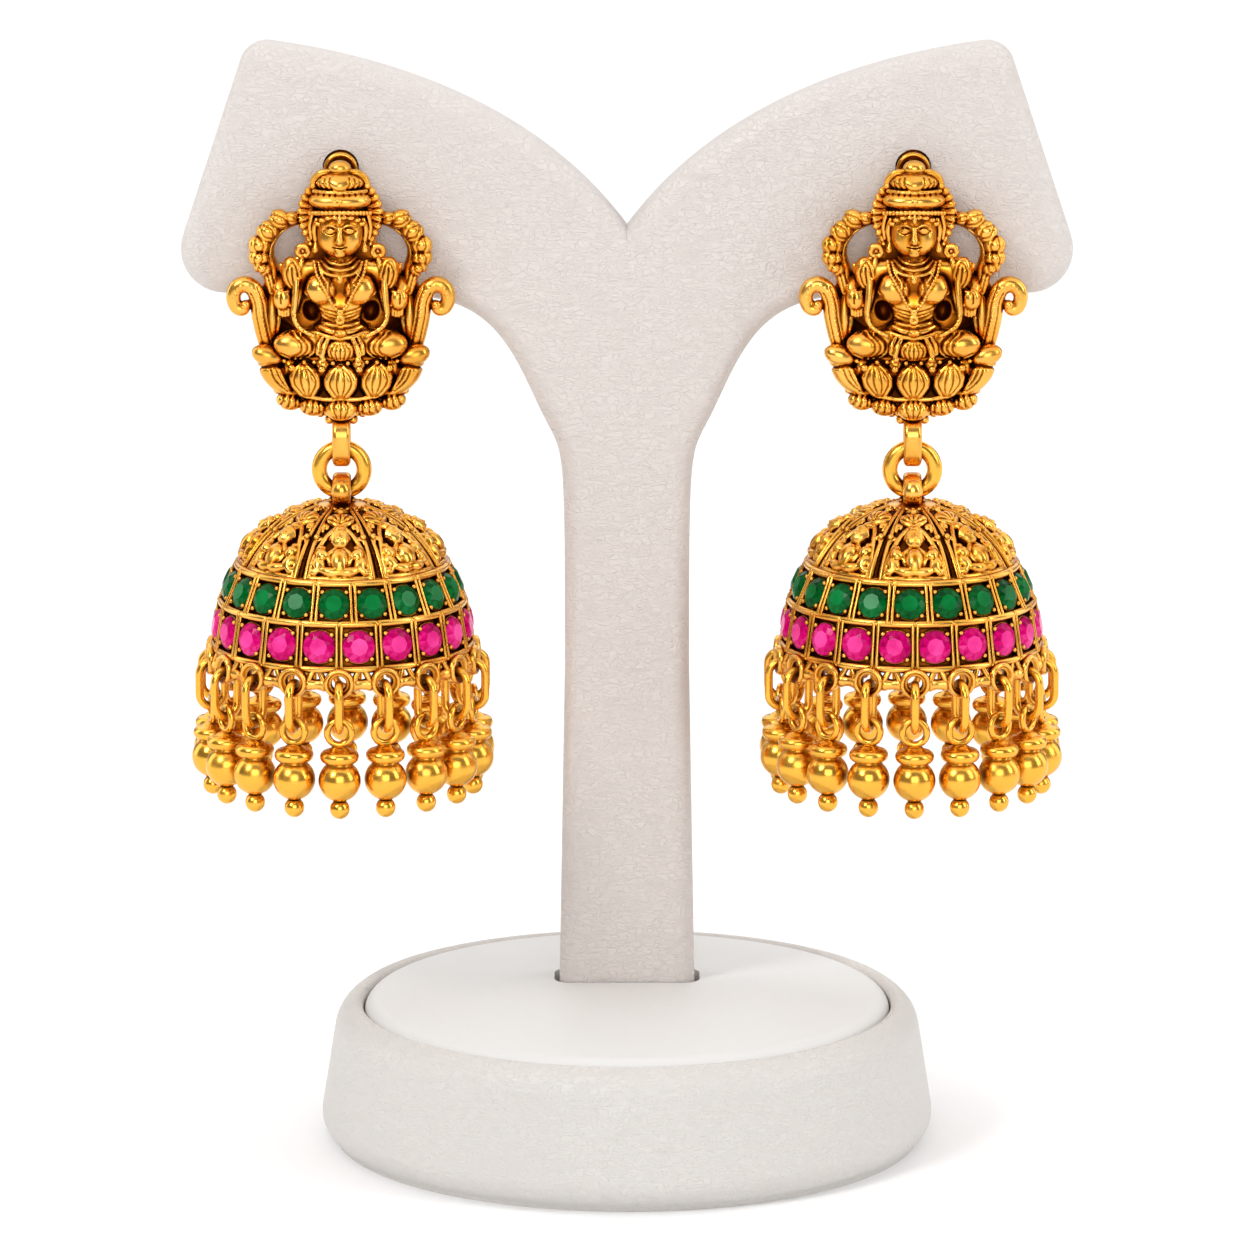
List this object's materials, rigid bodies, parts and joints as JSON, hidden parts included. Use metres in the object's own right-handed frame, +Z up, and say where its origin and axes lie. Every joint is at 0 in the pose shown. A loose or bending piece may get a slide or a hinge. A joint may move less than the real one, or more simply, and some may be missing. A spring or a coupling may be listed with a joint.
{
  "type": "pair of jhumka earrings on a display stand",
  "caption": "Gold-tone bell-drop earrings with relief studs, green and pink stone bands and a bead fringe, hung on a padded Y-shaped stand with a round base.",
  "frame": {"origin": "centre of the underside of the stand's base", "axes": "+Z up, +X to the right seen from the front, +Y to the back; the studs face -Y"},
  "size_m": [0.0888, 0.0616, 0.1109],
  "materials": {
    "antique_gold": "polished antique gold plate, dark in the recesses",
    "satin_gold": "satin gold plate",
    "green_stone": "cut and polished",
    "pink_stone": "cut and polished",
    "leatherette_upright": "matte, fine wrinkle grain",
    "leatherette_base": "matte, fine grain"
  },
  "bodies": {
    "root": {"stand_base": "leatherette_base", "stand_pad": "leatherette_base", "stand_upright": "leatherette_upright", "left_stud": "antique_gold", "left_ear_hook": "antique_gold", "right_stud": "antique_gold", "right_ear_hook": "antique_gold"},
    "left_ring": {"left_jump_ring": "antique_gold"},
    "left_bell_and_fringe": {"left_bell": "antique_gold", "left_green_stones": "green_stone", "left_pink_stones": "pink_stone", "left_drop_links": "antique_gold", "left_drop_01": "satin_gold", "left_drop_02": "satin_gold", "left_drop_03": "satin_gold", "left_drop_04": "satin_gold", "left_drop_05": "satin_gold", "left_drop_06": "satin_gold", "left_drop_07": "satin_gold", "left_drop_08": "satin_gold", "left_drop_09": "satin_gold", "left_drop_10": "satin_gold", "left_drop_11": "satin_gold", "left_drop_12": "satin_gold", "left_drop_13": "satin_gold", "left_drop_14": "satin_gold", "left_drop_15": "satin_gold", "left_drop_16": "satin_gold", "left_drop_17": "satin_gold", "left_drop_18": "satin_gold"},
    "right_ring": {"right_jump_ring": "antique_gold"},
    "right_bell_and_fringe": {"right_bell": "antique_gold", "right_green_stones": "green_stone", "right_pink_stones": "pink_stone", "right_drop_links": "antique_gold", "right_drop_01": "satin_gold", "right_drop_02": "satin_gold", "right_drop_03": "satin_gold", "right_drop_04": "satin_gold", "right_drop_05": "satin_gold", "right_drop_06": "satin_gold", "right_drop_07": "satin_gold", "right_drop_08": "satin_gold", "right_drop_09": "satin_gold", "right_drop_10": "satin_gold", "right_drop_11": "satin_gold", "right_drop_12": "satin_gold", "right_drop_13": "satin_gold", "right_drop_14": "satin_gold", "right_drop_15": "satin_gold", "right_drop_16": "satin_gold", "right_drop_17": "satin_gold", "right_drop_18": "satin_gold"}
  },
  "joints": [
    {"name": "left_ring_swing", "type": "hinge", "parent": "root", "child": "left_ring", "pos_m": [-0.0284, -0.002, 0.07112], "axis": [1, 0, 0], "range_deg": [-40, 40]},
    {"name": "left_bell_rock", "type": "hinge", "parent": "left_ring", "child": "left_bell_and_fringe", "pos_m": [-0.0284, -0.002, 0.0689], "axis": [0, 1, 0], "range_deg": [-10, 10]},
    {"name": "right_ring_swing", "type": "hinge", "parent": "root", "child": "right_ring", "pos_m": [0.0284, -0.002, 0.07112], "axis": [1, 0, 0], "range_deg": [-40, 40]},
    {"name": "right_bell_rock", "type": "hinge", "parent": "right_ring", "child": "right_bell_and_fringe", "pos_m": [0.0284, -0.002, 0.0689], "axis": [0, 1, 0], "range_deg": [-10, 10]}
  ]
}
